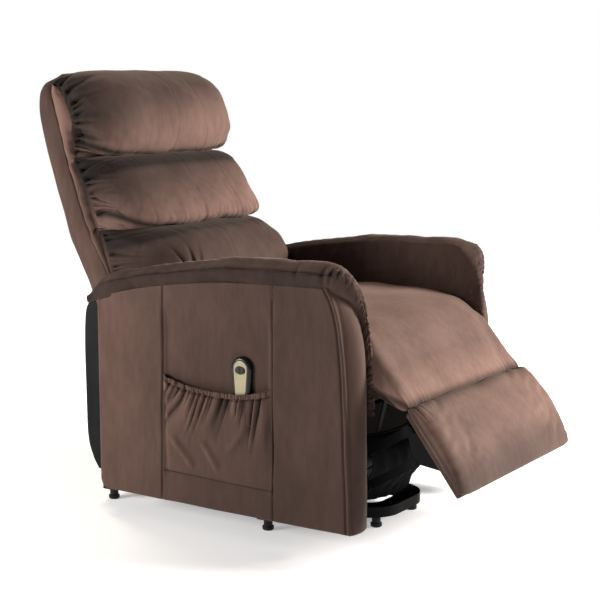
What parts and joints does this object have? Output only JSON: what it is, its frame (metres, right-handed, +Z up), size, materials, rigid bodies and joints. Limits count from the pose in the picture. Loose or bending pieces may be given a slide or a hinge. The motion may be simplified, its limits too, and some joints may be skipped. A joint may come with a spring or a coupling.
{
  "type": "power lift recliner chair",
  "caption": "Upholstered power lift recliner with pillow back, padded arms, side pocket with a two-button handset, opening footrest and a tilting lift base on feet",
  "frame": {"origin": "on the floor under the middle of the chair's overall box, at rest with the footrest part open", "axes": "+X to the sitter's left, -Y the way the sitter faces, +Z up"},
  "size_m": [0.6839, 1.1776, 1.0669],
  "materials": {
    "brown_velvet": "short pile velvet",
    "black_cloth": "matt woven lining",
    "black_steel": "satin black powder coat",
    "zinc_steel": "zinc plated",
    "frame_wood": "plain plywood",
    "black_plastic": "moulded",
    "gloss_black": "glossy",
    "champagne": "satin metallic paint"
  },
  "bodies": {
    "base": {"base_nose_bend": "black_steel", "base_rails": "black_steel", "base_mid_cross_tube": "black_steel", "base_rear_cross_tube": "black_steel", "tube_end_caps": "black_plastic", "feet": "black_plastic", "base_brackets": "black_steel", "base_pivot_pins": "zinc_steel"},
    "lift_arm": {"lift_arms": "black_steel", "lift_torque_tube": "black_steel", "lift_crank": "black_steel"},
    "stay": {"stay_links": "black_steel"},
    "motor": {"motor_gearbox": "black_plastic", "motor_can": "black_plastic", "screw_tube": "black_steel", "power_inlet": "black_plastic"},
    "rod": {"push_rod": "zinc_steel"},
    "chair": {"frame_plate_left": "black_steel", "frame_plate_right": "black_steel", "frame_tubes": "black_steel", "stay_hangers": "black_steel", "frame_pivot_pins": "zinc_steel", "seat_side_rails": "frame_wood", "seat_cross_rails": "frame_wood", "seat_webbing": "black_cloth", "seat_cushion": "brown_velvet", "arm_panel_left": "brown_velvet", "arm_panel_right": "brown_velvet", "arm_boards": "frame_wood", "arm_inner_panels": "brown_velvet", "arm_pad_left": "brown_velvet", "arm_pad_right": "brown_velvet", "side_pocket": "brown_velvet", "rear_skirt": "black_cloth", "front_curtain": "black_cloth", "curtain_rod": "black_steel", "back_hinge_pins": "zinc_steel"},
    "backrest": {"back_hinge_plates": "black_steel", "back_uprights": "frame_wood", "back_rails": "frame_wood", "back_side_pads": "brown_velvet", "back_outer_panel": "brown_velvet", "lumbar_pillow": "brown_velvet", "middle_pillow": "brown_velvet", "head_pillow": "brown_velvet"},
    "drive_link": {"footrest_drive_links": "black_steel", "footrest_drive_tube": "black_steel"},
    "idler_link": {"footrest_idler_links": "black_steel"},
    "long_link": {"footrest_long_links": "black_steel", "long_link_rivets": "black_steel"},
    "control_link": {"footrest_control_links": "black_steel", "control_link_rivets": "black_steel"},
    "footrest": {"footrest_brackets": "black_steel", "footrest_board": "brown_velvet", "footrest_cushion": "brown_velvet"},
    "handset": {"handset_case": "gloss_black", "handset_face": "champagne"},
    "button_up": {"button_up": "gloss_black"},
    "button_down": {"button_down": "gloss_black"}
  },
  "joints": [
    {"name": "lift", "type": "hinge", "parent": "base", "child": "lift_arm", "pos_m": [0, -0.1084, 0.082], "axis": [1, 0, 0], "range_deg": [0, 40]},
    {"name": "chair_tilt", "type": "hinge", "parent": "lift_arm", "child": "chair", "pos_m": [0, 0.3116, 0.13], "axis": [1, 0, 0], "range_deg": [-16, 0]},
    {"name": "stay_swing", "type": "hinge", "parent": "base", "child": "stay", "pos_m": [0, -0.2131, 0.0975], "axis": [1, 0, 0], "range_deg": [0, 52.6]},
    {"name": "motor_swing", "type": "hinge", "parent": "base", "child": "motor", "pos_m": [0, 0.3666, 0.086], "axis": [1, 0, 0], "range_deg": [0, 2.12]},
    {"name": "rod_stroke", "type": "slide", "parent": "motor", "child": "rod", "axis": [0, -0.9749, 0.2224], "range_m": [0, 0.0732]},
    {"name": "recline", "type": "hinge", "parent": "chair", "child": "backrest", "pos_m": [0, 0.3166, 0.43], "axis": [-1, 0, 0], "range_deg": [0, 34], "deforming": ["rear_skirt"]},
    {"name": "footrest_open", "type": "hinge", "parent": "chair", "child": "drive_link", "pos_m": [0, -0.2334, 0.3], "axis": [-1, 0, 0], "range_deg": [-37.4, 57.6]},
    {"name": "idler_swing", "type": "hinge", "parent": "chair", "child": "idler_link", "pos_m": [0, -0.28485, 0.33087], "axis": [-1, 0, 0], "range_deg": [-37.4, 57.6]},
    {"name": "long_swing", "type": "hinge", "parent": "drive_link", "child": "long_link", "pos_m": [0, -0.2834, 0.113], "axis": [-1, 0, 0], "range_deg": [-57.6, 37.4]},
    {"name": "control_swing", "type": "hinge", "parent": "drive_link", "child": "control_link", "pos_m": [0, -0.26532, 0.18062], "axis": [-1, 0, 0], "range_deg": [-57.6, 37.4]},
    {"name": "footrest_turn", "type": "hinge", "parent": "long_link", "child": "footrest", "pos_m": [0, -0.4534, 0.215], "axis": [-1, 0, 0], "range_deg": [-37.4, 57.6]},
    {"name": "handset_lift", "type": "slide", "parent": "chair", "child": "handset", "axis": [0, 0, 1], "range_m": [0, 0.12]},
    {"name": "button_up_press", "type": "slide", "parent": "handset", "child": "button_up", "axis": [1, 0, 0], "range_m": [0, 0.0012], "stiffness_N_per_m": 400},
    {"name": "button_down_press", "type": "slide", "parent": "handset", "child": "button_down", "axis": [1, 0, 0], "range_m": [0, 0.0012], "stiffness_N_per_m": 400}
  ],
  "couplings": [
    {"joint": "chair_tilt", "follows": "lift", "ratio": -0.4},
    {"joint": "stay_swing", "follows": "lift", "ratio": 1.315},
    {"joint": "motor_swing", "follows": "lift", "ratio": 0.052591},
    {"joint": "rod_stroke", "follows": "lift", "m_per_rad": 0.10469},
    {"joint": "idler_swing", "follows": "footrest_open", "ratio": 1},
    {"joint": "long_swing", "follows": "footrest_open", "ratio": -1},
    {"joint": "control_swing", "follows": "footrest_open", "ratio": -1},
    {"joint": "footrest_turn", "follows": "footrest_open", "ratio": 1}
  ]
}
